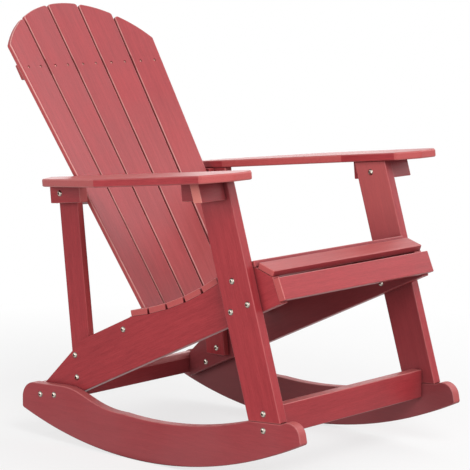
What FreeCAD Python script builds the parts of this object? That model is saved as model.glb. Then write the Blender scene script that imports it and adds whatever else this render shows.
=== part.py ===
import FreeCAD, Part
import math
import os

from FreeCAD import Placement, Rotation, Vector

# A rocking adirondack chair in plastic lumber, in millimetres and degrees.
# X runs across the chair, with the sitter's left at +X, Y to the back and Z up.
# The pieces are laid out with y = 0 and z = 0 where the rockers touch the floor. At the end the
# chair is rolled to its balance, and the origin goes to the middle of its box, on the floor.

# Boards that the chair is cut from
BOARD = 22.0
PLANK = 16.4
SEAT_SLAT = 13.0
BACK_SLAT = 12.0
BOARD_ROUND = 2.5
SLAT_ROUND = 1.8

# Rockers
ROCKER_RADIUS = 988.0
ROCKER_DEPTH = 87.8
HOLLOW_RADIUS = 909.0
HOLLOW_FORWARD = 31.6
ROCKER_FRONT = 434.0
ROCKER_BACK = 343.0
HOLLOW_END = 40.0
HEEL_TOP = 124.5
HEEL_START = 194.0
HEEL_DIP = 95.0
HEEL_FALL = 7.5
HEEL_RADIUS = 36.0
HUMP_RADIUS = 150.0
DIP_RADIUS = 260.0
TOE_RISE = 17.0
TOE_SETBACK = 10.0
TOE_RADIUS = 28.0
TIP_RADIUS = 6.0

# Seat rails and the facets that the slats lie on, from the back to the crest
SEAT_WIDTH = 472.6
SEAT_BACK_Y = 35.2
SEAT_BACK_Z = 290.4
SEAT_ANGLES = [12.4, 17.5, 21.5, 26.5, 30.5, 26.0, 20.0]
SLAT_WIDTH = 46.5
SLAT_GAP = 6.5
CREST_SETBACK = 2.5
NOSE_ANGLE = 18.0
NOSE_SLAT_WIDTH = 40.0
NOSE_SLAT_INSET = 1.5
NOSE_GAP = 4.7
RAIL_SLOPE = 24.5
RAIL_DEPTH = 100.8
TAIL_RUN = 158.7
TAIL_SLOPE = 43.2
TAIL_REACH = 259.3
TAIL_BEND_RADIUS = 100.0

# Apron under the front slat
APRON_LEAN = 22.9
APRON_HEIGHT = 45.2
APRON_DROP = 5.0
APRON_OVERHANG = 1.0

# Front legs, outside the rails and on the rockers
LEG_WIDTH = 80.0
LEG_LEAN = 16.7
LEG_BEHIND_CREST = 2.6
FOOT_RISE = 3.7

# Rear posts, inside the rails
POST_WIDTH = 54.7
POST_LEAN = 6.2
POST_BEHIND_SEAT = 209.1
POST_FOOT = 21.0

# Armrests: the height of the top over y = 0, and the plan of one arm
ARM_HEIGHT = 584.7
ARM_SLOPE = 5.65
ARM_FRONT = -319.3
ARM_BACK = 299.0
ARM_OVERHANG = 109.5
ARM_OVERLAP_FRONT = 30.7
ARM_OVERLAP_BACK = 3.0
ARM_FRONT_OFFSET = 8.8
ARM_FRONT_WIDTH = 50.0
ARM_CHAMFER_INNER = 36.5
ARM_CHAMFER_OUTER = 39.7
ARM_INSIDE_BEND = -136.2
ARM_INSIDE_TAPER_END = 193.0
ARM_OUTSIDE_BEND = 8.0
ARM_TIP_OFFSET = 25.7
ARM_TIP_Y = 249.0
ARM_TIP_RADIUS = 42.0
ARM_CORNER_RADIUS = 12.0
ARM_BACK_RADIUS = 5.0
ARM_ROUND = 3.5

# Blocks and brackets under the armrests
BLOCK_HEIGHT = 38.0
BLOCK_LENGTH = 90.0
BLOCK_BEHIND_POST = 2.0
CLEAT_LENGTH = 76.0
BRACKET_REACH = 70.3
BRACKET_SETBACK = 10.7

# Back: five slats that fan out in a leaning, slightly hollow surface
BACK_LEAN = 33.35
BACK_Y = 303.8
BACK_Z = 648.0
FAN_RADIUS = 2764.0
BACK_GAP = 4.0
BACK_SIDE_CLEARANCE = 6.3
BACK_HOLLOW_RADIUS = 1480.0
BACK_TOP = 319.0
BACK_BOTTOM = -480.0
BACK_TOP_RADIUS = 276.0
BACK_CORNER_RADIUS = 8.0
BACK_ROUND = 3.0
SLATS_EACH_SIDE = 2

# Braces behind the back: depth, middle height along the back, and height
BRACE_DEPTH = 24.0
UPPER_BRACE_DEPTH = 18.0
UPPER_BRACE_AT = 156.0
UPPER_BRACE_HEIGHT = 36.0
UPPER_BRACE_INSET = 15.0
ARM_BRACE_AT = -144.0
ARM_BRACE_HEIGHT = 38.0
LOWER_BRACE_AT = -458.0
LOWER_BRACE_HEIGHT = 40.0

# Stretchers between the rockers
FRONT_STRETCHER_BOTTOM = 101.3
FRONT_STRETCHER_TOP = 161.0
STRETCHER_BEHIND_TOE = 32.4
REAR_STRETCHER_BOTTOM = 70.0
REAR_STRETCHER_TOP = 115.4
REAR_BEVEL_HEIGHT = 12.0
REAR_BEVEL_DEPTH = 7.0

# Bolts with domed socket heads and sleeve nuts, and small pan-head screws
HEAD_RADIUS = 6.5
HEAD_HEIGHT = 3.4
SHANK_RADIUS = 3.0
SLEEVE_RADIUS = 4.2
SLEEVE_LENGTH = 12.0
SOCKET_FLATS = 5.0
SOCKET_DEPTH = 2.2
BORE_CLEARANCE = 0.2
LAG_LENGTH = 45.0
BOLT_SHORTFALL = 1.0
SCREW_HEAD_RADIUS = 3.0
SCREW_HEAD_HEIGHT = 1.3
SCREW_RADIUS = 2.0
SCREW_BITE = 14.0
SCREW_SPACING = 0.46
SCREW_EDGE = 11.0
COUNTERBORE = 6.0
SCREW_RECESS = 3.0
FRONT_SCREW_RECESS = 1.8
FRONT_SCREW_RISE = 5.0
PIN_RADIUS = 3.0
PIN_LENGTH = 26.0

# Places of the bolts and screws: back and up from an end, a corner or a crossing of middle lines
LEG_BOLTS = [(10.3, 23.4), (13.4, -37.5), (-29.7, -17.8)]
CLEAT_BOLT = (-33.0, 18.0)
ARM_BLOCK_BOLT = (5.0, 9.0)
TAIL_BOLT = (-50.5, 101.0)
TAIL_LAG_BOLT = (-8.5, 96.5)
TAIL_LAG_LENGTH = 36.0
POST_BOLT_FORWARD = 4.0
POST_BOLT_RISES = [15.5, 62.5]
FOOT_BOLT_RISE = 13.8
REAR_SCREW_SHARES = [0.15, 0.42]
ARM_SCREW_SHARES = [0.42, 0.88]
ARM_SCREW_BITE = 11.5

# Densities in kilograms per cubic millimetre, for the balance only
LUMBER_DENSITY = 1.1e-6
STEEL_DENSITY = 7.9e-6

RAIL_OUT = SEAT_WIDTH / 2
RAIL_IN = RAIL_OUT - BOARD
LEG_OUT = RAIL_OUT + BOARD
POST_IN = RAIL_IN - PLANK
FAR = 2000.0
ACROSS = Vector(1, 0, 0)

BACK_HALF_WIDTH = POST_IN - BACK_SIDE_CLEARANCE + BACK_GAP / 2
BACK_PITCH = BACK_HALF_WIDTH / (SLATS_EACH_SIDE + 0.5) * FAN_RADIUS / (FAN_RADIUS + ARM_BRACE_AT)

pieces = {}
bores = {}


# Side-view geometry

def side(y, z):
    return Vector(0, y, z)


def heading(angle):
    """Unit vector in the side view, at an angle above the way to the back."""
    return Vector(0, math.cos(math.radians(angle)), math.sin(math.radians(angle)))


def meet(start, along, other, other_along):
    """Where two side-view lines cross."""
    gap = other - start
    cross = along.y * other_along.z - along.z * other_along.y
    step = (gap.y * other_along.z - gap.z * other_along.y) / cross
    return start + along * step


def rocker_floor(y):
    """Point of the rocker's lower arc at a place along Y."""
    return side(y, ROCKER_RADIUS - math.sqrt(ROCKER_RADIUS ** 2 - y ** 2))


def hollow_point(y):
    """Point of the rocker's hollow upper arc at a place along Y."""
    centre_z = ROCKER_DEPTH + HOLLOW_RADIUS
    return side(y, centre_z - math.sqrt(HOLLOW_RADIUS ** 2 - (y + HOLLOW_FORWARD) ** 2))


def line(start, end):
    return Part.LineSegment(start, end).toShape()


def arc(start, middle, end):
    return Part.Arc(start, middle, end).toShape()


def closed_lines(points):
    return [line(a, b) for a, b in zip(points, points[1:] + points[:1])]


def prism(edges, x_low, x_high):
    """Solid board between two places across the chair, from its side-view edges."""
    face = Part.Face(Part.Wire(edges))
    face.translate(Vector(x_low, 0, 0))
    return face.extrude(Vector(x_high - x_low, 0, 0))


# Rounding

def is_across(edge):
    start, end = edge.Vertexes[0].Point, edge.Vertexes[-1].Point
    return (end - start).cross(ACROSS).Length < 1e-6 and (end - start).Length > 1e-6


def round_corners(solid, corners):
    """Round the edges that run across the chair at the given side-view corners."""
    for corner, radius in corners:
        def distance(edge):
            middle = edge.CenterOfMass
            return (side(middle.y, middle.z) - side(corner.y, corner.z)).Length
        edge = min(filter(is_across, solid.Edges), key=distance)
        solid = one_solid(solid.makeFillet(radius, [edge]))
    return solid


def one_solid(shape):
    """The single solid in a shape that an operation may have wrapped."""
    solids = shape.Solids
    if len(solids) != 1:
        raise ValueError("a board came out as %d solids" % len(solids))
    return solids[0]


def soften(solid, radius, chosen=None):
    """Ease the edges of a board; all of them unless a test chooses some."""
    edges = [edge for edge in solid.Edges if chosen is None or chosen(edge)]
    return one_solid(solid.makeFillet(radius, edges))


# Pieces that come in mirrored pairs

def mirrored(shape):
    return shape.mirror(Vector(0, 0, 0), ACROSS)


def add_pair(name, shape):
    """Keep a piece of the sitter's left side and its mirror image on the right."""
    pieces["left_" + name] = shape
    pieces["right_" + name] = mirrored(shape)


def drill(name, cutter):
    bores.setdefault(name, []).append(cutter)


# Seat line: the facets under the slats, then the facet under the front slat

def seat_facets():
    """Start, direction and upward normal of each slat's facet, from back to front."""
    facets = []
    start = side(SEAT_BACK_Y, SEAT_BACK_Z)
    for angle in SEAT_ANGLES:
        facets.append((start, heading(180 - angle), heading(90 - angle)))
        start = start + heading(180 - angle) * (SLAT_WIDTH + SLAT_GAP)
    return facets


FACETS = seat_facets()
SEAT_BACK = FACETS[0][0]
CREST = FACETS[-1][0] + FACETS[-1][1] * (SLAT_WIDTH - CREST_SETBACK)
NOSE_ALONG = heading(180 + NOSE_ANGLE)
NOSE_UP = heading(90 + NOSE_ANGLE)
NOSE_OVERLAP = CREST_SETBACK * math.cos(math.radians(NOSE_ANGLE + SEAT_ANGLES[-1]))
NOSE_START = CREST + NOSE_ALONG * (NOSE_OVERLAP + NOSE_GAP)
NOSE_END = NOSE_START + NOSE_ALONG * NOSE_SLAT_WIDTH
APRON_DOWN = heading(270 - APRON_LEAN)
APRON_OUT = heading(180 - APRON_LEAN)

RAIL_ALONG = heading(-RAIL_SLOPE)
RAIL_UNDER = SEAT_BACK - heading(90 - RAIL_SLOPE) * RAIL_DEPTH
TAIL_END_Y = SEAT_BACK.y + TAIL_REACH
LEG_ALONG = heading(90 - LEG_LEAN)
LEG_FRONT = CREST + side(LEG_BEHIND_CREST, 0)
LEG_BACK = LEG_FRONT + side(LEG_WIDTH / math.cos(math.radians(LEG_LEAN)), 0)
POST_ALONG = heading(90 - POST_LEAN)
POST_BACK = SEAT_BACK + side(POST_BEHIND_SEAT, 0)
POST_FRONT = POST_BACK - side(POST_WIDTH / math.cos(math.radians(POST_LEAN)), 0)
ARM_ALONG = heading(-ARM_SLOPE)
ARM_UP = heading(90 - ARM_SLOPE)
ARM_UNDER = side(0, ARM_HEIGHT) - ARM_UP * PLANK
BLOCK_UNDER = ARM_UNDER - ARM_UP * BLOCK_HEIGHT


def hollow_meets(start, along):
    """Where a side-view line that leads up from the rocker's hollow starts on it."""
    gap = start - side(-HOLLOW_FORWARD, ROCKER_DEPTH + HOLLOW_RADIUS)
    reach = gap.dot(along)
    return start - along * (reach + math.sqrt(reach ** 2 - gap.dot(gap) + HOLLOW_RADIUS ** 2))


HEEL = hollow_meets(LEG_BACK, LEG_ALONG)
TOE = meet(HEEL, heading(180 - FOOT_RISE), LEG_FRONT, LEG_ALONG)


# Wooden pieces

def build_rockers():
    nose_bottom = rocker_floor(-ROCKER_FRONT)
    tail_bottom = rocker_floor(ROCKER_BACK)
    nose_top = side(-ROCKER_FRONT + TOE_SETBACK, TOE.z + TOE_RISE)
    tail_top = side(ROCKER_BACK, HEEL_TOP - HEEL_FALL)
    hump = side(HEEL_START, HEEL_TOP)
    hollow_back = hollow_point(HOLLOW_END)
    dip = side(HEEL_DIP, hollow_back.z)
    edges = [arc(nose_bottom, side(0, 0), tail_bottom)]
    path = [tail_bottom, tail_top, hump, dip, hollow_back]
    edges += [line(a, b) for a, b in zip(path, path[1:])]
    edges.append(arc(hollow_back, hollow_point(-HOLLOW_FORWARD), HEEL))
    path = [HEEL, TOE, nose_top, nose_bottom]
    edges += [line(a, b) for a, b in zip(path, path[1:])]
    rocker = prism(edges, RAIL_OUT, LEG_OUT)
    rocker = round_corners(rocker, [(nose_top, TOE_RADIUS), (nose_bottom, TIP_RADIUS),
                                    (tail_top, HEEL_RADIUS), (tail_bottom, TIP_RADIUS),
                                    (hump, HUMP_RADIUS), (dip, DIP_RADIUS)])
    add_pair("rocker", soften(rocker, BOARD_ROUND, lambda edge: not is_across(edge)))


def build_rails():
    tail_bend = SEAT_BACK + RAIL_ALONG * TAIL_RUN
    tail_top = meet(tail_bend, heading(-TAIL_SLOPE), side(TAIL_END_Y, 0), side(0, 1))
    tail_bottom = meet(RAIL_UNDER, RAIL_ALONG, side(TAIL_END_Y, 0), side(0, 1))
    front_bottom = meet(RAIL_UNDER, RAIL_ALONG, NOSE_END, APRON_DOWN)
    facet_starts = [facet[0] for facet in FACETS]
    outline = facet_starts + [CREST, NOSE_END, front_bottom, tail_bottom, tail_top, tail_bend]
    rail = prism(closed_lines(outline), RAIL_IN, RAIL_OUT)
    rail = round_corners(rail, [(tail_bend, TAIL_BEND_RADIUS)])

    def lower_long_edge(edge):
        middle = edge.CenterOfMass
        under = meet(RAIL_UNDER, RAIL_ALONG, side(middle.y, 0), side(0, 1))
        return abs(middle.z - under.z) < 1e-3 and not is_across(edge)

    add_pair("seat_rail", soften(rail, BOARD_ROUND, lower_long_edge))


def build_legs():
    top = [meet(corner, LEG_ALONG, ARM_UNDER, ARM_ALONG) for corner in (LEG_FRONT, LEG_BACK)]
    leg = prism(closed_lines([HEEL, TOE, top[0], top[1]]), RAIL_OUT, LEG_OUT)
    add_pair("front_leg", soften(leg, BOARD_ROUND))


def post_foot():
    """Level line on which the post's foot is cut, a little above the rail's lower edge."""
    under = meet(RAIL_UNDER, RAIL_ALONG, POST_FRONT, POST_ALONG)
    return side(0, under.z + POST_FOOT - POST_WIDTH / 2 * math.tan(math.radians(RAIL_SLOPE)))


def build_posts():
    foot = [meet(corner, POST_ALONG, post_foot(), side(1, 0)) for corner in (POST_BACK, POST_FRONT)]
    top = [meet(corner, POST_ALONG, ARM_UNDER, ARM_ALONG) for corner in (POST_FRONT, POST_BACK)]
    post = prism(closed_lines(foot + top), POST_IN, RAIL_IN)
    add_pair("rear_post", soften(post, SLAT_ROUND))


def build_armrests():
    outside = LEG_OUT + ARM_OVERHANG
    front_inner = LEG_OUT + ARM_FRONT_OFFSET
    inside_front = LEG_OUT - ARM_OVERLAP_FRONT
    inside_back = RAIL_IN - ARM_OVERLAP_BACK
    plan = [(front_inner, ARM_FRONT, ARM_CORNER_RADIUS),
            (front_inner + ARM_FRONT_WIDTH, ARM_FRONT, ARM_CORNER_RADIUS),
            (outside, ARM_FRONT + ARM_CHAMFER_OUTER, ARM_CORNER_RADIUS),
            (outside, ARM_OUTSIDE_BEND, 0),
            (LEG_OUT + ARM_TIP_OFFSET, ARM_TIP_Y, ARM_TIP_RADIUS),
            (inside_back, ARM_BACK, ARM_BACK_RADIUS),
            (inside_back, ARM_INSIDE_TAPER_END, 0),
            (inside_front, ARM_INSIDE_BEND, 0),
            (inside_front, ARM_FRONT + ARM_CHAMFER_INNER, ARM_CORNER_RADIUS)]
    points = [Vector(x, y, -PLANK) for x, y, radius in plan]
    arm = Part.Face(Part.Wire(closed_lines(points))).extrude(Vector(0, 0, PLANK))
    for x, y, radius in plan:
        corner = [edge for edge in arm.Edges
                  if radius and (edge.CenterOfMass - Vector(x, y, -PLANK / 2)).Length < 1e-3]
        if corner:
            arm = one_solid(arm.makeFillet(radius, corner))
    rim = [edge for edge in arm.Edges if edge.BoundBox.ZLength < 1e-6]
    arm = one_solid(arm.makeFillet(ARM_ROUND, rim))
    arm.Placement = Placement(side(0, ARM_HEIGHT), Rotation(ACROSS, -ARM_SLOPE))
    add_pair("armrest", arm)


def under_arm(y_front, y_back):
    """Side-view corners of a block as tall as the others, under the arm."""
    corners = [meet(level, ARM_ALONG, side(y, 0), ARM_UP)
               for level in (ARM_UNDER, BLOCK_UNDER) for y in (y_front, y_back)]
    return [corners[0], corners[1], corners[3], corners[2]]


def bracket_lines():
    """Front and back lines of the bracket board, which leans with the leg."""
    front = LEG_FRONT + side(BRACKET_SETBACK, 0)
    return front, front + side(BOARD / math.cos(math.radians(LEG_LEAN)), 0)


def build_arm_supports():
    post_back = meet(POST_BACK, POST_ALONG, ARM_UNDER, ARM_ALONG)
    block_back = meet(post_back, ARM_UP, side(0, 0), side(1, 0)).y + BLOCK_BEHIND_POST
    block = prism(closed_lines(under_arm(block_back - BLOCK_LENGTH, block_back)), RAIL_IN, RAIL_OUT)
    add_pair("rear_arm_block", soften(block, SLAT_ROUND))

    front, back = bracket_lines()
    corners = [meet(start, LEG_ALONG, level, ARM_ALONG)
               for start, level in ((front, ARM_UNDER), (front, BLOCK_UNDER),
                                    (back, BLOCK_UNDER), (back, ARM_UNDER))]
    bracket = prism(closed_lines(corners), LEG_OUT, LEG_OUT + BRACKET_REACH)
    add_pair("arm_bracket", soften(bracket, SLAT_ROUND))

    cleat_back = [corner + ARM_ALONG * CLEAT_LENGTH for corner in corners[3:1:-1]]
    square = meet(cleat_back[1], ARM_UP, ARM_UNDER, ARM_ALONG)
    cleat = prism(closed_lines([corners[3], square, cleat_back[1], corners[2]]),
                  LEG_OUT, LEG_OUT + BOARD)
    add_pair("arm_cleat", soften(cleat, SLAT_ROUND))


def slab(start, along, up, width, thickness, half_length):
    """Straight slat across the chair, from its lower back corner in the side view."""
    corners = [start, start + along * width, start + along * width + up * thickness,
               start + up * thickness]
    return soften(prism(closed_lines(corners), -half_length, half_length), SLAT_ROUND)


def build_seat():
    for number, (start, along, up) in enumerate(FACETS, 1):
        pieces["seat_slat_%d" % number] = slab(start, along, up, SLAT_WIDTH, SEAT_SLAT, RAIL_OUT)
    pieces["front_seat_slat"] = slab(NOSE_START, NOSE_ALONG, NOSE_UP, NOSE_SLAT_WIDTH, SEAT_SLAT,
                                     RAIL_OUT - NOSE_SLAT_INSET)
    apron_top = NOSE_END + APRON_DOWN * APRON_DROP
    pieces["front_apron"] = slab(apron_top, APRON_DOWN, APRON_OUT, APRON_HEIGHT, PLANK,
                                 RAIL_OUT + APRON_OVERHANG)


def build_stretchers():
    front = TOE.y + STRETCHER_BEHIND_TOE
    corners = [side(front, FRONT_STRETCHER_BOTTOM), side(front + BOARD, FRONT_STRETCHER_BOTTOM),
               side(front + BOARD, FRONT_STRETCHER_TOP), side(front, FRONT_STRETCHER_TOP)]
    board = prism(closed_lines(corners), -RAIL_OUT, RAIL_OUT)
    pieces["front_stretcher"] = soften(board, BOARD_ROUND)
    corners = [side(TAIL_END_Y, REAR_STRETCHER_BOTTOM),
               side(TAIL_END_Y + BOARD, REAR_STRETCHER_BOTTOM),
               side(TAIL_END_Y + BOARD, REAR_STRETCHER_TOP),
               side(TAIL_END_Y + REAR_BEVEL_DEPTH, REAR_STRETCHER_TOP),
               side(TAIL_END_Y, REAR_STRETCHER_TOP - REAR_BEVEL_HEIGHT)]
    board = prism(closed_lines(corners), -RAIL_OUT, RAIL_OUT)
    pieces["rear_stretcher"] = soften(board, SLAT_ROUND)


# Back: each slat is drawn upright, then fanned, turned to the hollow and leaned with the back

FAN_STEP = math.degrees(math.atan(BACK_PITCH / FAN_RADIUS))
TURN_STEP = math.degrees(BACK_PITCH / BACK_HOLLOW_RADIUS)
BACK_PLACE = Placement(side(BACK_Y, BACK_Z), Rotation(ACROSS, -BACK_LEAN))


def pitch_at(height):
    return BACK_PITCH * (FAN_RADIUS + height) / FAN_RADIUS


def fan(shape, step):
    """Swing a shape in the plane of the back to the slat's place in the fan."""
    return shape.rotated(Vector(0, 0, -FAN_RADIUS), Vector(0, 1, 0), step * FAN_STEP)


def hollow_out(shape, step):
    """Turn a fanned slat about its own middle line, and bring it forward."""
    fan_angle = math.radians(step * FAN_STEP)
    middle_line = Vector(math.sin(fan_angle), 0, math.cos(fan_angle))
    shape = shape.rotated(Vector(0, 0, -FAN_RADIUS), middle_line, -step * TURN_STEP)
    forward = (step * BACK_PITCH) ** 2 / (2 * BACK_HOLLOW_RADIUS)
    return shape.translated(Vector(0, -forward, 0))


def lean(shape):
    shape = shape.copy()
    shape.Placement = BACK_PLACE.multiply(shape.Placement)
    return shape


def build_back_slat(step):
    low, high = BACK_BOTTOM, BACK_TOP + BACK_PITCH
    halves = [(pitch_at(height) - BACK_GAP) / 2 for height in (low, high)]
    corners = [Vector(-halves[0], 0, low), Vector(halves[0], 0, low),
               Vector(halves[1], 0, high), Vector(-halves[1], 0, high)]
    slat = Part.Face(Part.Wire(closed_lines(corners))).extrude(Vector(0, BACK_SLAT, 0))
    slat = fan(slat, step)
    dome = Part.makeCylinder(BACK_TOP_RADIUS, 3 * BACK_SLAT, Vector(0, -BACK_SLAT, 0), Vector(0, 1, 0))
    dome.translate(Vector(0, 0, BACK_TOP - BACK_TOP_RADIUS))
    body = Part.makeBox(FAR, FAR, FAR, Vector(-FAR / 2, -FAR / 2, BACK_TOP - BACK_TOP_RADIUS - FAR))
    slat = slat.common(dome.fuse(body))
    top_ends = [edge for edge in slat.Edges
                if edge.BoundBox.ZLength < 1e-6 and edge.BoundBox.XLength < 1e-6
                and edge.CenterOfMass.z > 0]
    slat = one_solid(slat.makeFillet(BACK_CORNER_RADIUS, top_ends))
    return lean(hollow_out(soften(slat, BACK_ROUND), step))


def slat_name(step):
    hand = "left_" if step > 0 else "right_" if step else ""
    return hand + ["middle", "inner", "outer"][abs(step)] + "_back_slat"


def build_back_slats():
    for step in range(-SLATS_EACH_SIDE, SLATS_EACH_SIDE + 1):
        pieces[slat_name(step)] = build_back_slat(step)


def slat_room(step):
    """Space in front of a brace that belongs to one slat, as wide as its place in the fan."""
    reach = 2 * BACK_PITCH
    half = BACK_PITCH / 2 + BRACE_DEPTH
    left = -reach if step == -SLATS_EACH_SIDE else -half
    right = reach if step == SLATS_EACH_SIDE else half
    room = Part.makeBox(right - left, 3 * BACK_SLAT, FAR, Vector(left, -2 * BACK_SLAT, -FAR / 2))
    wedge = [Vector(0, -2 * BACK_SLAT, -FAN_RADIUS),
             Vector(-pitch_at(FAR / 2) / 2, -2 * BACK_SLAT, FAR / 2),
             Vector(pitch_at(FAR / 2) / 2, -2 * BACK_SLAT, FAR / 2)]
    if abs(step) == SLATS_EACH_SIDE:
        outer = 1 if step < 0 else 2
        wedge[outer] = wedge[outer] + ACROSS * (math.copysign(reach, step))
    share = Part.Face(Part.Wire(closed_lines(wedge))).extrude(Vector(0, 3 * BACK_SLAT, 0))
    return hollow_out(fan(room.common(share), step), step)


def build_brace(name, middle, height, depth, half_length):
    """Brace sawn to the hollow of the back, with a flat facet behind each slat."""
    steps = [0.5 + step for step in range(SLATS_EACH_SIDE)]
    stations = sorted([-half_length, half_length] + [sign * step * pitch_at(middle)
                                                     for step in steps for sign in (-1, 1)])
    front = [Vector(x, -(x / BACK_PITCH) ** 2 * BACK_PITCH ** 2 / (2 * BACK_HOLLOW_RADIUS), 0)
             for x in stations]
    back = Vector(0, BACK_SLAT + depth, 0)
    outline = front + [point + back for point in reversed(front)]
    face = Part.Face(Part.Wire(closed_lines(outline)))
    face.translate(Vector(0, 0, middle - height / 2))
    brace = face.extrude(Vector(0, 0, height))
    for step in range(-SLATS_EACH_SIDE, SLATS_EACH_SIDE + 1):
        brace = brace.cut(slat_room(step))
    brace = brace.removeSplitter()
    rear = [edge for edge in brace.Edges
            if edge.BoundBox.ZLength < 1e-6 and edge.BoundBox.XLength > BACK_PITCH / 3
            and edge.CenterOfMass.y > front[0].y + BACK_SLAT + depth / 2]
    pieces[name] = lean(one_solid(brace.makeFillet(SLAT_ROUND, rear)))


def build_braces():
    widest = pitch_at(UPPER_BRACE_AT) * (SLATS_EACH_SIDE + 0.5)
    build_brace("upper_back_brace", UPPER_BRACE_AT, UPPER_BRACE_HEIGHT, UPPER_BRACE_DEPTH,
                widest - UPPER_BRACE_INSET)
    build_brace("arm_level_brace", ARM_BRACE_AT, ARM_BRACE_HEIGHT, BRACE_DEPTH, POST_IN)
    build_brace("lower_back_brace", LOWER_BRACE_AT, LOWER_BRACE_HEIGHT, BRACE_DEPTH, RAIL_IN)


# Fasteners

def along_axis(shape, base, direction):
    """Set a fastener drawn with its head above the origin against a face, head outwards."""
    shape = shape.copy()
    shape.Placement = Placement(base, Rotation(Vector(0, 0, 1), direction))
    return shape


def dome(radius, height):
    ball_radius = (radius ** 2 + height ** 2) / (2 * height)
    ball = Part.makeSphere(ball_radius)
    ball.translate(Vector(0, 0, height - ball_radius))
    return ball.common(Part.makeCylinder(radius, height))


def socket():
    corner = SOCKET_FLATS / math.sqrt(3)
    points = [Vector(corner * math.cos(math.radians(60 * k)), corner * math.sin(math.radians(60 * k)),
                     HEAD_HEIGHT - SOCKET_DEPTH) for k in range(6)]
    return Part.Face(Part.Wire(closed_lines(points))).extrude(Vector(0, 0, SOCKET_DEPTH + 1))


def bolt(length):
    shank = Part.makeCylinder(SHANK_RADIUS, length, Vector(0, 0, -length))
    return dome(HEAD_RADIUS, HEAD_HEIGHT).cut(socket()).fuse(shank)


def sleeve_nut():
    sleeve = Part.makeCylinder(SLEEVE_RADIUS, SLEEVE_LENGTH, Vector(0, 0, -SLEEVE_LENGTH))
    hole = Part.makeCylinder(SHANK_RADIUS + BORE_CLEARANCE, SLEEVE_LENGTH, Vector(0, 0, -SLEEVE_LENGTH))
    return dome(HEAD_RADIUS, HEAD_HEIGHT).cut(socket()).fuse(sleeve.cut(hole))


def screw(length):
    shank = Part.makeCylinder(SCREW_RADIUS, length, Vector(0, 0, -length))
    return dome(SCREW_HEAD_RADIUS, SCREW_HEAD_HEIGHT).fuse(shank)


def bore(radius, length):
    return Part.makeCylinder(radius, length, Vector(0, 0, -length))


def add_fastener(node, shape):
    pieces.setdefault(node, []).append(shape)


def through_bolt(node, point, x_out, x_in, through):
    """Bolt on both sides of the chair, with its sleeve nut on the inner face."""
    outer, inner = Vector(x_out, point.y, point.z), Vector(x_in, point.y, point.z)
    bolt_shape = along_axis(bolt(x_out - x_in - BOLT_SHORTFALL), outer, ACROSS)
    nut_shape = along_axis(sleeve_nut(), inner, ACROSS * -1)
    hole = along_axis(bore(SLEEVE_RADIUS + BORE_CLEARANCE, x_out - x_in), outer, ACROSS)
    for shape, group in ((bolt_shape, node), (nut_shape, "sleeve_nuts")):
        add_fastener(group, shape)
        add_fastener(group, mirrored(shape))
    for name in through:
        drill("left_" + name, hole)
        drill("right_" + name, mirrored(hole))


def lag_bolt(node, point, x_out, through, into=None, length=LAG_LENGTH):
    """Bolt on both sides that ends inside a board, or in the end grain of a cross piece."""
    outer = Vector(x_out, point.y, point.z)
    shape = along_axis(bolt(length), outer, ACROSS)
    hole = along_axis(bore(SHANK_RADIUS + BORE_CLEARANCE, length), outer, ACROSS)
    add_fastener(node, shape)
    add_fastener(node, mirrored(shape))
    for name in through:
        drill("left_" + name, hole)
        drill("right_" + name, mirrored(hole))
    if into:
        drill(into, hole)
        drill(into, mirrored(hole))


def screw_at(node, base, direction, length, names, sunk_in=None):
    """Pan-head screw through the named pieces; its head may be sunk in one of them."""
    add_fastener(node, along_axis(screw(length), base, direction))
    for name in names:
        drill(name, along_axis(bore(SCREW_RADIUS + BORE_CLEARANCE / 2, length), base, direction))
    if sunk_in:
        recess = bore(SCREW_HEAD_RADIUS + BORE_CLEARANCE, COUNTERBORE)
        drill(sunk_in, along_axis(recess, base + direction * COUNTERBORE, direction))


def brace_end(height, half_length, back=0.0):
    """Side-view middle of a brace's end, or a place farther back, at a height along the back."""
    hollow = half_length ** 2 / (2 * BACK_HOLLOW_RADIUS)
    return BACK_PLACE.multVec(Vector(0, BACK_SLAT + BRACE_DEPTH / 2 - hollow + back, height))


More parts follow.
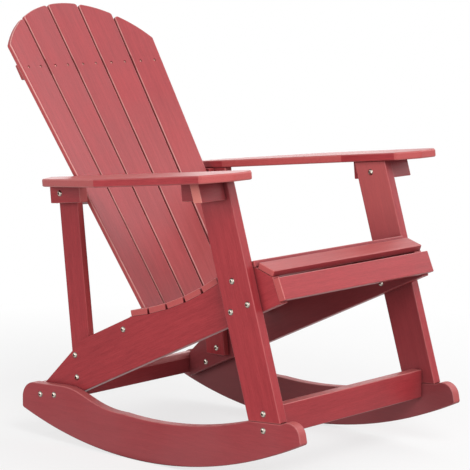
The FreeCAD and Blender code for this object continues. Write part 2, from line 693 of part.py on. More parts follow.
def build_bolts():
    leg_middle = (LEG_FRONT + LEG_BACK) * 0.5
    rail_line = RAIL_UNDER + heading(90 - RAIL_SLOPE) * (RAIL_DEPTH / 2)
    joint = meet(leg_middle, LEG_ALONG, rail_line, RAIL_ALONG)
    for back, up in LEG_BOLTS:
        through_bolt("leg_bolts", joint + side(back, up), LEG_OUT, RAIL_IN, ["front_leg", "seat_rail"])

    stretcher_y = pieces["front_stretcher"].CenterOfMass.y
    lag_bolt("foot_bolts", side(stretcher_y, TOE.z + FOOT_BOLT_RISE), LEG_OUT, ["front_leg"], "front_stretcher")
    lag_bolt("foot_bolts", side(stretcher_y, FRONT_STRETCHER_BOTTOM + FOOT_BOLT_RISE), LEG_OUT, ["rocker"],
             "front_stretcher")

    tail_end = side(TAIL_END_Y, 0)
    through_bolt("rocker_tail_bolts", tail_end + side(*TAIL_BOLT), LEG_OUT, RAIL_IN,
                 ["rocker", "seat_rail"])
    lag_bolt("rocker_tail_bolts", tail_end + side(*TAIL_LAG_BOLT), LEG_OUT, ["rocker", "seat_rail"],
             length=TAIL_LAG_LENGTH)

    post_middle = (POST_FRONT + POST_BACK) * 0.5
    foot = meet(post_middle, POST_ALONG, post_foot(), side(1, 0)) - side(POST_BOLT_FORWARD, 0)
    for rise in POST_BOLT_RISES:
        through_bolt("post_bolts", foot + POST_ALONG * rise, RAIL_OUT, POST_IN,
                     ["seat_rail", "rear_post"])

    lag_bolt("lower_brace_bolts", brace_end(LOWER_BRACE_AT, RAIL_IN), RAIL_OUT, ["seat_rail"],
             "lower_back_brace")
    back, up = ARM_BLOCK_BOLT
    lag_bolt("arm_block_bolts", brace_end(ARM_BRACE_AT + up, POST_IN, back), RAIL_OUT,
             ["rear_arm_block", "rear_post"], "arm_level_brace")
    leg_back = meet(LEG_BACK, LEG_ALONG, BLOCK_UNDER, ARM_ALONG)
    through_bolt("arm_block_bolts", leg_back + side(*CLEAT_BOLT), LEG_OUT + BOARD, RAIL_OUT,
                 ["arm_cleat", "front_leg"])


def local_frame(step):
    """Way across a slat and way out of its front face, in the chair."""
    across = hollow_out(fan(line(Vector(0, 0, 0), Vector(1, 0, 0)), step), step)
    ends = [vertex.Point for vertex in lean(across).Vertexes]
    out = hollow_out(fan(line(Vector(0, 0, 0), Vector(0, -1, 0)), step), step)
    front = [vertex.Point for vertex in lean(out).Vertexes]
    return ends[1] - ends[0], front[1] - front[0]


def slat_point(step, across, depth, height):
    """Point of one back slat, given across it, behind its front face and along the back."""
    mark = Part.Vertex(Vector(across, depth, height))
    return lean(hollow_out(fan(mark, step), step)).Point


def build_back_screws():
    for step in range(-SLATS_EACH_SIDE, SLATS_EACH_SIDE + 1):
        out = local_frame(step)[1]
        slat = slat_name(step)
        for sign in (-1, 1):
            height = UPPER_BRACE_AT + FRONT_SCREW_RISE
            across = sign * pitch_at(height) * SCREW_SPACING / 2
            base = slat_point(step, across, FRONT_SCREW_RECESS, height)
            screw_at("upper_brace_screws", base, out, BACK_SLAT + SCREW_BITE,
                     [slat, "upper_back_brace"], sunk_in=slat)
            for node, height, brace in (("arm_brace_screws", ARM_BRACE_AT, "arm_level_brace"),
                                        ("lower_brace_screws", LOWER_BRACE_AT, "lower_back_brace")):
                across = sign * pitch_at(height) * SCREW_SPACING / 2
                depth = BACK_SLAT + BRACE_DEPTH - SCREW_RECESS
                base = slat_point(step, across, depth, height)
                screw_at(node, base, out * -1, depth - BACK_SLAT / 2, [slat, brace], sunk_in=brace)


def build_seat_screws():
    """Screws from the slats into the tops of the rails."""
    names = ["seat_slat_%d" % number for number in range(1, len(FACETS) + 1)]
    for name, (start, along, up) in zip(names, FACETS):
        top = start + along * (SLAT_WIDTH / 2) + up * SEAT_SLAT
        for sign, rail in ((1, "left_seat_rail"), (-1, "right_seat_rail")):
            base = Vector(sign * (RAIL_OUT - SCREW_EDGE), top.y, top.z)
            screw_at("seat_slat_screws", base, up, SEAT_SLAT + SCREW_BITE, [name, rail])


def build_frame_screws():
    """Hidden pins behind the apron, and screws in the rear stretcher and up into the armrests."""
    apron = NOSE_END + APRON_DOWN * (APRON_DROP + APRON_HEIGHT / 2) + APRON_OUT * (PIN_LENGTH / 2)
    for sign, hand in ((1, "left_"), (-1, "right_")):
        x = sign * (RAIL_OUT - SCREW_EDGE)
        pin = along_axis(bore(PIN_RADIUS, PIN_LENGTH), Vector(x, apron.y, apron.z), APRON_OUT)
        add_fastener("apron_pins", pin)
        for name in ("front_apron", hand + "seat_rail"):
            drill(name, pin)
        for share in REAR_SCREW_SHARES:
            z = REAR_STRETCHER_BOTTOM + (REAR_STRETCHER_TOP - REAR_STRETCHER_BOTTOM) * share
            screw_at("rear_stretcher_screws", Vector(x, TAIL_END_Y + BOARD, z), Vector(0, 1, 0),
                     BOARD + SCREW_BITE, ["rear_stretcher", hand + "seat_rail"])
        for name in ("rear_arm_block", "arm_cleat"):
            box = pieces[hand + name].BoundBox
            for share in ARM_SCREW_SHARES:
                y = box.YMin + box.YLength * share
                base = meet(BLOCK_UNDER, ARM_ALONG, side(y, 0), side(0, 1))
                x_middle = (box.XMin + box.XMax) / 2
                screw_at("armrest_screws", Vector(x_middle, base.y, base.z), ARM_UP * -1,
                         BLOCK_HEIGHT + ARM_SCREW_BITE, [hand + name, hand + "armrest"])


# Assembly

def finish_pieces():
    """Drill the boards and turn lists of fasteners into groups of solids."""
    for name, cutters in bores.items():
        pieces[name] = one_solid(pieces[name].cut(Part.makeCompound(cutters)))
    for name, shape in pieces.items():
        if isinstance(shape, list):
            pieces[name] = Part.makeCompound(shape)


def is_steel(name):
    return name.endswith(("bolts", "nuts", "screws", "pins"))


def balance_roll():
    """Roll about the rockers' centre that brings the centre of mass over the floor contact."""
    mass, moment = 0.0, Vector(0, 0, 0)
    for name, shape in pieces.items():
        for solid in shape.Solids:
            share = solid.Volume * (STEEL_DENSITY if is_steel(name) else LUMBER_DENSITY)
            mass += share
            moment += solid.CenterOfMass * share
    centre = moment / mass
    roll = math.degrees(math.atan2(centre.y, ROCKER_RADIUS - centre.z))
    print("mass %.2f kg, centre of mass y %.2f z %.2f, roll %.3f degrees"
          % (mass, centre.y, centre.z, roll))
    return roll


def place_on_floor():
    turn = Rotation(ACROSS, -balance_roll())
    centre = side(0, ROCKER_RADIUS)
    rolled = {}
    for name, shape in pieces.items():
        rolled[name] = shape.copy()
        rolled[name].Placement = Placement(Vector(0, 0, 0), turn, centre).multiply(shape.Placement)
    box = FreeCAD.BoundBox()
    for shape in rolled.values():
        box.add(shape.optimalBoundingBox(False, False))
    middle = (box.YMin + box.YMax) / 2
    print("box x %.2f y %.2f z %.2f to %.2f, shift to the back %.3f"
          % (box.XLength, box.YLength, box.ZMin, box.ZMax, -middle))
    for name in rolled:
        rolled[name].translate(side(-middle, 0))
    return rolled


def main():
    build_rockers()
    build_rails()
    build_legs()
    build_posts()
    build_armrests()
    build_arm_supports()
    build_seat()
    build_stretchers()
    build_back_slats()
    build_braces()
    build_bolts()
    build_back_screws()
    build_seat_screws()
    build_frame_screws()
    finish_pieces()
    os.makedirs("parts", exist_ok=True)
    for name, shape in place_on_floor().items():
        shape.exportStep("parts/%s.step" % name)


main()
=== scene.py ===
import bpy
import math
from mathutils import Euler, Matrix, Vector


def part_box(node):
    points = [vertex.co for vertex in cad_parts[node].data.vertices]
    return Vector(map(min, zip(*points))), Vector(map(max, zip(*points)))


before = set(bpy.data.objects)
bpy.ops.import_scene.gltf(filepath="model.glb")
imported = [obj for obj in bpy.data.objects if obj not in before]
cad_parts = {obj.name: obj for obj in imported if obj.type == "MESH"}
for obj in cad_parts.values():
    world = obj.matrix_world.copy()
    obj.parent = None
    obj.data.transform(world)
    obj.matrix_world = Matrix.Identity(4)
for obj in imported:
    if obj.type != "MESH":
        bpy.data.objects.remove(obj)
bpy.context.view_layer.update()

# Slopes of the boards in the side view, in degrees, as in the model of the chair
RAIL_SLOPE = -24.5
LEG_SLOPE = 73.3
POST_SLOPE = 83.8
ARM_SLOPE = -5.65
BACK_SLOPE = 56.65
APRON_SLOPE = 67.1
SEAT_SLOPES = [12.4, 17.5, 21.5, 26.5, 30.5, 26.0, 20.0]
FRONT_SLAT_SLOPE = -18.0
FAN_STEP = 1.695

# Back slats, with their steps of the fan from the middle
BACK_SLATS = {"right_outer": -2, "right_inner": -1, "middle": 0, "left_inner": 1, "left_outer": 2}

# Camera, in metres and degrees
CAMERA_PLACE = (-3.17236, -2.89858, 1.03155)
CAMERA_PITCH = 82.135
CAMERA_TURN = -48.217
CHAIR_ROLL = -0.070
CAMERA_LENS = 157.56
CAMERA_SENSOR = 36.0
CAMERA_REACH = 200.0

# Colours, as linear values
RED_DEEP = (0.270, 0.0160, 0.0225, 1)
RED_PALE = (0.435, 0.0400, 0.0480, 1)
# Paler red for painted light: painted sheen on faces that look up, and lit faces
RED_PAINTED_LIGHT = (0.640, 0.2300, 0.2150, 1)
RED_CUT = (0.520, 0.1050, 0.1000, 1)
# Paler cut colour of the arm bracket ends, painted light on ends that sit in the shade of the
# arms
RED_CUT_PAINTED_LIGHT = (0.780, 0.2400, 0.2000, 1)
# Pale red of the painted highlights on the rounded edges
RED_EDGE_HIGHLIGHT = (0.780, 0.4000, 0.3700, 1)
# Near black of the painted shade in narrow gaps
GAP_SHADE = (0.080, 0.0070, 0.0100, 1)
# Grey red of the painted shade in sheltered places and on the rockers
SHADE = (0.290, 0.0750, 0.0820, 1)
# Dark grey red of the painted shade on the inner faces below the seat
PAINTED_INNER_SHADE = (0.100, 0.0580, 0.0620, 1)
STEEL = (0.60, 0.53, 0.45, 1)
STEEL_DULL = (0.40, 0.37, 0.34, 1)
SCREW_STEEL = (0.48, 0.25, 0.21, 1)
SCREW_DULL = (0.26, 0.12, 0.10, 1)
# Near black of the painted shade in the hollows and on the rims of the steel
STEEL_PAINTED_SHADE = (0.035, 0.030, 0.028, 1)
FLOOR_WHITE = (0.85, 0.85, 0.85, 1)
FLOOR_BOUNCE = (0.35, 0.35, 0.35, 1)
WHITE = (1, 1, 1, 1)

# Light: strength of the sky, then place, size in metres and power of each lamp
SKY = 0.32
LAMPS = {"key": ((-1.8, -2.9, 3.0), 1.6, 88.0),
         "left": ((-3.4, 0.9, 1.2), 1.8, 36.0),
         "front": ((-2.6, -2.8, 0.9), 1.8, 34.0),
         "right": ((2.6, -0.9, 2.2), 3.0, 60.0),
         "fill": ((1.5, -3.7, 2.2), 2.2, 14.0),
         "back": ((2.6, 2.9, 1.4), 2.2, 14.0)}
LAMP_TARGET = (0, 0, 0.45)

# Floor, in metres: the shadow shows near the chair and fades to plain white
FLOOR_SIZE = 60.0
FLOOR_DROP = 0.0002
SHADOW_NEAR = 0.75
SHADOW_FAR = 1.7
SHADOW_SHARE = 0.28

# Where four numbers stand together below, a value read between the first two becomes one
# between the last two.

# Patterns of the lumber: share of the scale along the board (a small share draws the pattern
# out lengthwise), then scale, detail and roughness of the noise
PATTERNS = {"grain": (0.05, 620.0, 4.0, 0.65),
            "streaks": (0.05, 110.0, 3.0, 0.55),
            "flecks": (0.22, 900.0, 2.0, 0.60),
            "clouds": (1.0, 7.0, 3.0, 0.55)}
# Step from the pattern of one board to that of the next, in metres
SHIFT_ALONG = 0.37
SHIFT_BESIDE = 0.11

# Tone of the lumber, from deep to pale red
TONE = {"grain": (0.30, 0.70, -0.30, 0.30),
        "streaks": (0.30, 0.70, -0.16, 0.16),
        "flecks": (0.35, 0.70, -0.12, 0.16),
        "clouds": (0.30, 0.70, -0.12, 0.12)}
# Each board's own tone swings about the middle
TONE_MIDDLE = 0.5
TONE_STEP = 0.05
TONE_TURN = 2.4

# Roughness and relief of the lumber
ROUGHNESS = {"grain": (0.30, 0.70, 0.30, 0.46), "clouds": (0.30, 0.70, -0.03, 0.04)}
CUT_ROUGHNESS = 0.12
GRAIN_RELIEF = 0.6
STREAK_RELIEF = 0.4
RELIEF_STRENGTH = 0.45
RELIEF_DEPTH = 0.0006
LUMBER_IOR = 1.5
SHEEN = (0.10, 0.80, 0.02, 0.28)

# Painted sheen and painted light on the faces that look up, uneven along the streaks
UPWARD_SHEEN = (0.75, 1.0, 0.0, 0.52)
STREAKED = (0.30, 0.70, 0.70, 1.0)

# How far the back slats are painted paler low down, as painted sheen, slat by slat
BACK_SLAT_SHEEN = {"left_outer": 0.26, "left_inner": 0.20, "middle": 0.11, "right_inner": 0.04,
          "right_outer": 0.0}
BACK_SHEEN_LOW = 0.40
BACK_SHEEN_HIGH = 0.72

# Saw-cut faces: where the turn of the face starts and ends, and the share of the cut colour.
# On some boards they look away from the wide face, and on the others along the board.
# On the rear posts the faces that look forward and back take part of the cut colour, as painted
# light on their shaded front faces
SIDE_CUTS = {"rocker": (0.30, 0.55, 1.0), "back_slat": (0.25, 0.60, 0.55),
             "rear_post": (0.25, 0.60, 0.40)}
# The ends of the arm brackets take a larger share of a paler cut colour, as painted light
END_CUTS = {"armrest": (0.03, 0.04, 1.0), "arm_bracket": (0.03, 0.20, 1.6)}
PLAIN_END_CUT = (0.03, 0.20, 1.0)
CUT_FLECKS = (0.30, 0.70, 0.55, 0.95)

# How far the rounded edges of the boards are painted pale, as painted highlights
EDGE_HIGHLIGHT = {"back_slat": 0.95, "rear_post": 0.08, "armrest": 0.15, "front_leg": 0.16,
        "seat_rail": 0.20}
PLAIN_EDGE_HIGHLIGHT = 0.35
EDGE_HIGHLIGHT_GRAIN = (0.35, 0.65)
ROUNDED_FROM_SIDE = (0.10, 0.35, 0.0, 1.0)
ROUNDED_TO_FACE = (0.80, 0.985, 1.0, 0.0)

# Painted shade on the inner faces of the side boards below the seat, and painted light on them
# above it
INNER_SHADE_SHARE = {"front_leg": 0.26, "seat_rail": 0.34, "rocker": 0.36}
INNER_LIGHT_SHARE = {"front_leg": 0.30}
SHADE_TO_LIGHT_LOW = 0.36
SHADE_TO_LIGHT_HIGH = 0.50
INNER_FACE = (0.5, 0.9, 0.0, 1.0)
# Painted shade on the rockers, darker and greyer in cloudy patches
ROCKER_SHADE_CLOUDS = (0.30, 0.70, 0.15, 0.45)

# Painted shade: sheltered places are painted grey, and narrow gaps are painted near black;
# reaches in metres
PAINTED_SHADE_SHARE = {"back_slat": 0.25, "rear_post": 0.35}
PLAIN_PAINTED_SHADE = 0.90
PAINTED_SHADE_REACH = 0.200
PAINTED_SHADE_RANGE = (0.15, 0.85)
GAP_REACH = 0.025
PAINTED_GAP_SHADE = (0.10, 0.70, 0.95, 0.0)

# Steel: marks of turning and stains, bright edges, and painted shade on the rims and in hollows
# such as the sockets.
# Marks and stains have the scale, detail and roughness of their noise.
MARKS = (1500.0, 3.0, 0.60)
STAINS = (160.0, 2.0, 0.55)
MARKS_DULL = (0.30, 0.70, 0.0, 0.35)
STAINS_DULL = (0.40, 0.70, 0.0, 0.25)
STEEL_EDGE = 0.0006
STEEL_EDGE_RANGE = (0.97, 0.80)
SOCKET_REACH = 0.007
SOCKET_RANGE = (0.45, 0.97)
RIM_RANGE = (0.62, 0.84)
STEEL_ROUGHNESS = (0.30, 0.70, 0.16, 0.32)
STEEL_RELIEF_STRENGTH = 0.3
STEEL_RELIEF_DEPTH = 0.00008

# Samples of the nodes that feel for corners and edges
NODE_SAMPLES = 6


# Nodes of a material

class Graph:
    """Short calls for adding and joining the nodes of one node tree."""

    def __init__(self, owner):
        owner.use_nodes = True
        self.tree = owner.node_tree
        self.tree.nodes.clear()

    def add(self, kind, inputs=None, **settings):
        node = self.tree.nodes.new(kind)
        for name, value in settings.items():
            setattr(node, name, value)
        for socket, value in (inputs or {}).items():
            if isinstance(value, bpy.types.NodeSocket):
                self.tree.links.new(value, node.inputs[socket])
            else:
                node.inputs[socket].default_value = value
        return node

    def maths(self, operation, a, b, clamp=False):
        return self.add("ShaderNodeMath", {0: a, 1: b}, operation=operation,
                        use_clamp=clamp).outputs[0]

    def spread(self, value, low, high, to_low, to_high):
        """Map a value from one range to another, held at the ends."""
        return self.add("ShaderNodeMapRange", {0: value, 1: low, 2: high, 3: to_low, 4: to_high},
                        clamp=True).outputs[0]

    def noise(self, vector, scale, detail, roughness):
        return self.add("ShaderNodeTexNoise", {"Vector": vector, "Scale": scale, "Detail": detail,
                                               "Roughness": roughness}).outputs["Fac"]

    def mix(self, share, a, b):
        """Blend two colours: a where the share is 0, and b where it is 1."""
        return self.add("ShaderNodeMix", {0: share, 6: a, 7: b}, data_type="RGBA").outputs[2]

    def normal(self):
        """The three parts of the direction that a face looks in."""
        facing = self.add("ShaderNodeNewGeometry").outputs["Normal"]
        return self.add("ShaderNodeSeparateXYZ", {0: facing}).outputs

    def alignment(self, direction, kind="Normal"):
        """1 where a face looks along a direction or against it, and 0 where it looks across."""
        facing = self.add("ShaderNodeNewGeometry").outputs[kind]
        dot = self.add("ShaderNodeVectorMath", {0: facing, 1: direction}, operation="DOT_PRODUCT")
        return self.maths("ABSOLUTE", dot.outputs["Value"], 0.0)

    def openness(self, distance):
        """1 on open faces and 0 deep in corners, gaps and hollows."""
        return self.add("ShaderNodeAmbientOcclusion", {"Distance": distance},
                        samples=NODE_SAMPLES).outputs["AO"]

    def edge_mask(self, radius, start, end):
        """1 along the edges of a piece and 0 on its faces."""
        rounded = self.add("ShaderNodeBevel", {"Radius": radius},
                           samples=NODE_SAMPLES).outputs[0]
        flat = self.add("ShaderNodeNewGeometry").outputs["Normal"]
        dot = self.add("ShaderNodeVectorMath", {0: rounded, 1: flat}, operation="DOT_PRODUCT")
        return self.spread(dot.outputs["Value"], start, end, 0.0, 1.0)


def by_ending(name, table, plain):
    """Value of a table for the kind of piece that a name ends with."""
    return next((value for ending, value in table.items() if name.endswith(ending)), plain)


# Lumber

def slope(angle):
    """Direction in the side view, at an angle above the line to the rear."""
    return Vector((0, math.cos(math.radians(angle)), math.sin(math.radians(angle))))


def board_axes(name):
    """Direction along a board and the normal of its wide face, in the row frame."""
    across = Vector((1, 0, 0))
    if name.endswith("back_slat"):
        step = BACK_SLATS[name[:-len("_back_slat")]]
        facing = slope(BACK_SLOPE + 90)
        fan = Matrix.Rotation(math.radians(-step * FAN_STEP), 3, facing)
        return fan @ slope(BACK_SLOPE), facing
    side_boards = {"rocker": 0.0, "seat_rail": RAIL_SLOPE, "front_leg": LEG_SLOPE,
                   "rear_post": POST_SLOPE, "arm_cleat": ARM_SLOPE, "rear_arm_block": ARM_SLOPE}
    side_slope = by_ending(name, side_boards, None)
    if side_slope is not None:
        return slope(side_slope), across
    if name.endswith("armrest"):
        return slope(ARM_SLOPE), slope(ARM_SLOPE + 90)
    if name == "front_apron":
        return across, slope(APRON_SLOPE + 90)
    if name.endswith("brace"):
        return across, slope(BACK_SLOPE + 90)
    if name == "front_seat_slat":
        return across, slope(90 - FRONT_SLAT_SLOPE)
    if name.startswith("seat_slat"):
        return across, slope(90 - SEAT_SLOPES[int(name[-1]) - 1])
    if name.endswith("arm_bracket"):
        return across, slope(LEG_SLOPE + 90)
    if name.endswith("stretcher"):
        return across, Vector((0, 1, 0))
    return across, Vector((0, 0, 1))


def lumber_patterns(graph, name, number, along, facing):
    """Noise patterns that run along a board, and differ from board to board."""
    beside = facing.cross(along).normalized()
    axes = Matrix((along, beside, facing)).transposed()
    low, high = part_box(name)
    middle = (low + high) / 2
    shift = along * (SHIFT_ALONG * number) + beside * (SHIFT_BESIDE * number)
    place = graph.add("ShaderNodeTexCoord").outputs["Object"]
    local = graph.add("ShaderNodeMapping", {"Vector": place, "Location": middle + shift,
                                            "Rotation": axes.to_euler()},
                      vector_type="TEXTURE").outputs[0]
    patterns = {}
    for pattern, (width, scale, detail, roughness) in PATTERNS.items():
        drawn = graph.add("ShaderNodeMapping", {"Vector": local, "Scale": (width, 1.0, 1.0)})
        patterns[pattern] = graph.noise(drawn.outputs[0], scale, detail, roughness)
    return patterns


def total(graph, patterns, table):
    """Sum of the patterns of a table, each mapped by its own range."""
    parts = [graph.spread(patterns[pattern], *limits) for pattern, limits in table.items()]
    value = parts[0]
    for part in parts[1:]:
        value = graph.maths("ADD", value, part)
    return value


def cut_share(graph, name, along, facing):
    """1 on saw-cut faces, such as the ends of a board, and 0 on its moulded faces."""
    side_cut = by_ending(name, SIDE_CUTS, None)
    if side_cut:
        start, end, share = side_cut
        return graph.spread(graph.alignment(facing, "True Normal"), start, end, share, 0.0)
    start, end, share = by_ending(name, END_CUTS, PLAIN_END_CUT)
    return graph.spread(graph.alignment(along, "True Normal"), start, end, 0.0, share)


def rounded_share(graph, facing):
    """1 on the rounded edges beside the wide faces of a board, and 0 on its flat faces."""
    flat = graph.alignment(facing)
    return graph.maths("MULTIPLY", graph.spread(flat, *ROUNDED_FROM_SIDE),
                       graph.spread(flat, *ROUNDED_TO_FACE))


def painted_sheen_share(graph, name, patterns, height):
    """How far a board takes painted sheen where it looks up, and on the back slats low down."""
    streaked = graph.spread(patterns["streaks"], *STREAKED)
    painted_sheen = graph.maths("MULTIPLY", graph.spread(graph.normal()["Z"], *UPWARD_SHEEN), streaked)
    # Painted sheen on the back slats low down
    if name.endswith("back_slat"):
        back_sheen = BACK_SLAT_SHEEN[name[:-len("_back_slat")]]
        low_down = graph.spread(height, BACK_SHEEN_LOW, BACK_SHEEN_HIGH, back_sheen, 0.0)
        painted_sheen = graph.maths("ADD", painted_sheen, graph.maths("MULTIPLY", low_down, streaked))
    return painted_sheen


def shade_and_light_inner_face(graph, name, colour, height):
    """Painted shade low down and painted light high up on the inner face of a side board."""
    inward = -1.0 if name.startswith("left") else 1.0
    inner = graph.spread(graph.maths("MULTIPLY", graph.normal()["X"], inward), *INNER_FACE)
    low_down = graph.spread(height, SHADE_TO_LIGHT_LOW, SHADE_TO_LIGHT_HIGH, by_ending(name, INNER_SHADE_SHARE, 0.0), 0.0)
    colour = graph.mix(graph.maths("MULTIPLY", inner, low_down), colour, PAINTED_INNER_SHADE)
    high_up = graph.spread(height, SHADE_TO_LIGHT_LOW, SHADE_TO_LIGHT_HIGH, 0.0, by_ending(name, INNER_LIGHT_SHARE, 0.0))
    return graph.mix(graph.maths("MULTIPLY", inner, high_up), colour, RED_PAINTED_LIGHT)


def lumber(name, number):
    """Brushed plastic lumber: lengthwise grain, soft mottling and pale cuts, with painted
    highlights on the edges, painted sheen and painted shade.
    """
    along, facing = board_axes(name)
    material = bpy.data.materials.new("lumber_" + name)
    graph = Graph(material)
    patterns = lumber_patterns(graph, name, number, along, facing)
    place = graph.add("ShaderNodeTexCoord").outputs["Object"]
    height = graph.add("ShaderNodeSeparateXYZ", {0: place}).outputs["Z"]

    own_tone = TONE_MIDDLE + TONE_STEP * math.sin(TONE_TURN * number)
    tone = graph.maths("ADD", total(graph, patterns, TONE), own_tone, clamp=True)
    colour = graph.mix(tone, RED_DEEP, RED_PALE)
    # Painted sheen: paler where faces look up, and on the back slats low down
    colour = graph.mix(painted_sheen_share(graph, name, patterns, height), colour, RED_PAINTED_LIGHT)
    cut = cut_share(graph, name, along, facing)
    flecked = graph.maths("MULTIPLY", cut, graph.spread(patterns["flecks"], *CUT_FLECKS),
                          clamp=True)
    # Pale cut colour on saw-cut faces; on the ends of the arm brackets it is painted light
    colour = graph.mix(flecked, colour, RED_CUT_PAINTED_LIGHT if name.endswith("arm_bracket") else RED_CUT)
    # Painted highlights along the rounded edges
    highlight_amount = by_ending(name, EDGE_HIGHLIGHT, PLAIN_EDGE_HIGHLIGHT)
    highlighted = graph.maths("MULTIPLY", rounded_share(graph, facing),
                       graph.spread(patterns["grain"], *EDGE_HIGHLIGHT_GRAIN, highlight_amount / 2, highlight_amount))
    colour = graph.mix(highlighted, colour, RED_EDGE_HIGHLIGHT)
    # Painted shade on the rockers, in cloudy patches
    if name.endswith("rocker"):
        colour = graph.mix(graph.spread(patterns["clouds"], *ROCKER_SHADE_CLOUDS), colour, SHADE)
    # Painted shade below the seat and painted light above it, on the inner faces
    if by_ending(name, INNER_SHADE_SHARE, None):
        colour = shade_and_light_inner_face(graph, name, colour, height)
    # Painted shade: grey where a place is sheltered
    sheltered_shade = graph.spread(graph.openness(PAINTED_SHADE_REACH), *PAINTED_SHADE_RANGE,
                           by_ending(name, PAINTED_SHADE_SHARE, PLAIN_PAINTED_SHADE), 0.0)
    colour = graph.mix(sheltered_shade, colour, SHADE)
    # Painted shade: near black in narrow gaps and around fasteners
    nearby = graph.openness(GAP_REACH)
    colour = graph.mix(graph.spread(nearby, *PAINTED_GAP_SHADE), colour, GAP_SHADE)

    roughness = graph.maths("ADD", total(graph, patterns, ROUGHNESS),
                            graph.maths("MULTIPLY", cut, CUT_ROUGHNESS))
    relief = graph.maths("ADD", graph.maths("MULTIPLY", patterns["grain"], GRAIN_RELIEF),
                         graph.maths("MULTIPLY", patterns["streaks"], STREAK_RELIEF))
    bump = graph.add("ShaderNodeBump", {"Strength": RELIEF_STRENGTH, "Distance": RELIEF_DEPTH,
                                        "Height": relief})
    shader = graph.add("ShaderNodeBsdfPrincipled",
                       {"Base Color": colour, "Roughness": roughness, "Normal": bump.outputs[0],
                        "IOR": LUMBER_IOR, "Specular IOR Level": graph.spread(nearby, *SHEEN)})
    graph.add("ShaderNodeOutputMaterial", {"Surface": shader.outputs[0]})
    return material


# Steel

def brushed_steel(name, bright, dull, rim_shade, socket):
    """Stainless steel with fine turning marks, and painted shade on its rims and in its hollows.
    """
    material = bpy.data.materials.new(name)
    graph = Graph(material)
    place = graph.add("ShaderNodeTexCoord").outputs["Object"]
    marks = graph.noise(place, *MARKS)
    stains = graph.noise(place, *STAINS)
    share = graph.maths("ADD", graph.spread(marks, *MARKS_DULL),
                        graph.spread(stains, *STAINS_DULL))
    edges = graph.edge_mask(STEEL_EDGE, *STEEL_EDGE_RANGE)
    colour = graph.mix(graph.maths("SUBTRACT", share, edges, clamp=True), bright, dull)
    # Painted shade in hollows such as the sockets
    hollow_shade = graph.spread(graph.openness(SOCKET_REACH), *SOCKET_RANGE, socket, 0.0)
    colour = graph.mix(hollow_shade, colour, STEEL_PAINTED_SHADE)
    # Painted shade on the rims, which face across the bolt
    sideways = graph.maths("ABSOLUTE", graph.normal()["X"], 0.0)
    colour = graph.mix(graph.spread(sideways, *RIM_RANGE, rim_shade, 0.0), colour, STEEL_PAINTED_SHADE)
    roughness = graph.spread(marks, *STEEL_ROUGHNESS)
    bump = graph.add("ShaderNodeBump", {"Strength": STEEL_RELIEF_STRENGTH,
                                        "Distance": STEEL_RELIEF_DEPTH, "Height": marks})
    shader = graph.add("ShaderNodeBsdfPrincipled",
                       {"Base Color": colour, "Metallic": 1.0, "Roughness": roughness,
                        "Normal": bump.outputs[0]})
    graph.add("ShaderNodeOutputMaterial", {"Surface": shader.outputs[0]})
    return material


def dress_nodes():
    bolts = brushed_steel("stainless_steel", STEEL, STEEL_DULL, rim_shade=0.85, socket=1.0)
    screws = brushed_steel("weathered_steel", SCREW_STEEL, SCREW_DULL, rim_shade=0.0, socket=0.3)
    for number, name in enumerate(sorted(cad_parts)):
        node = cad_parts[name]
        if name.endswith(("bolts", "nuts")):
            material = bolts
        elif name.endswith(("screws", "pins")):
            material = screws
        else:
            material = lumber(name, number)
        node.data.materials.clear()
        node.data.materials.append(material)


# Surroundings

def seen_share(graph):
    """1 for rays from the camera, and for reflections and refractions of them."""
    path = graph.add("ShaderNodeLightPath").outputs
    share = graph.maths("MAXIMUM", path["Is Camera Ray"], path["Is Glossy Ray"])
    return graph.maths("MAXIMUM", share, path["Is Transmission Ray"])


def make_world():
    """White background, with a weaker sky for the light."""
    world = bpy.data.worlds.new("studio")
    bpy.context.scene.world = world
    graph = Graph(world)
    light = graph.add("ShaderNodeBackground", {"Color": WHITE, "Strength": SKY})
    white = graph.add("ShaderNodeBackground", {"Color": WHITE, "Strength": 1.0})
    mixed = graph.add("ShaderNodeMixShader", {0: seen_share(graph), 1: light.outputs[0],
                                              2: white.outputs[0]})
    graph.add("ShaderNodeOutputWorld", {"Surface": mixed.outputs[0]})


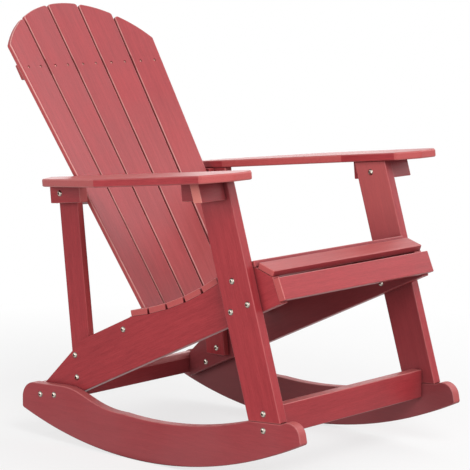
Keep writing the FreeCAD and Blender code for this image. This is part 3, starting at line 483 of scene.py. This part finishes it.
def make_floor():
    """White floor that shows the shadow near the chair and is plain white farther off."""
    bpy.ops.mesh.primitive_plane_add(size=FLOOR_SIZE, location=(0, 0, -FLOOR_DROP))
    floor = bpy.context.object
    floor.name = "studio_floor"
    material = bpy.data.materials.new("studio_floor")
    graph = Graph(material)
    place = graph.add("ShaderNodeTexCoord").outputs["Object"]
    distance = graph.add("ShaderNodeVectorMath", {0: place}, operation="LENGTH").outputs["Value"]
    plain = graph.spread(distance, SHADOW_NEAR, SHADOW_FAR, 1.0 - SHADOW_SHARE, 1.0)
    shaded = graph.add("ShaderNodeBsdfDiffuse", {"Color": FLOOR_WHITE})
    white = graph.add("ShaderNodeEmission", {"Color": WHITE, "Strength": 1.0})
    shown = graph.add("ShaderNodeMixShader", {0: plain, 1: shaded.outputs[0],
                                              2: white.outputs[0]})
    bounce = graph.add("ShaderNodeBsdfDiffuse", {"Color": FLOOR_BOUNCE})
    mixed = graph.add("ShaderNodeMixShader", {0: seen_share(graph), 1: bounce.outputs[0],
                                              2: shown.outputs[0]})
    graph.add("ShaderNodeOutputMaterial", {"Surface": mixed.outputs[0]})
    floor.data.materials.append(material)


def area_light(name, place, size, power):
    """Soft square lamp, aimed at the middle of the chair and unseen by the camera."""
    light = bpy.data.lights.new(name, "AREA")
    light.energy = power
    light.size = size
    holder = bpy.data.objects.new(name, light)
    holder.location = place
    aim = Vector(LAMP_TARGET) - Vector(place)
    holder.rotation_euler = aim.to_track_quat("-Z", "Y").to_euler()
    holder.visible_camera = False
    bpy.context.scene.collection.objects.link(holder)


def make_camera():
    """Camera of the photo, turned with the small roll of the chair on its rockers."""
    lens = bpy.data.cameras.new("camera")
    lens.lens = CAMERA_LENS
    lens.sensor_width = CAMERA_SENSOR
    lens.clip_end = CAMERA_REACH
    holder = bpy.data.objects.new("camera", lens)
    turn = Euler((math.radians(CAMERA_PITCH), 0, math.radians(CAMERA_TURN))).to_matrix()
    roll = Matrix.Rotation(math.radians(CHAIR_ROLL), 3, "X")
    holder.matrix_world = Matrix.Translation(CAMERA_PLACE) @ (roll @ turn).to_4x4()
    bpy.context.scene.collection.objects.link(holder)
    bpy.context.scene.camera = holder


dress_nodes()
make_world()
make_floor()
for lamp, (place, size, power) in LAMPS.items():
    area_light(lamp, place, size, power)
make_camera()
bpy.context.scene.view_settings.view_transform = "Standard"
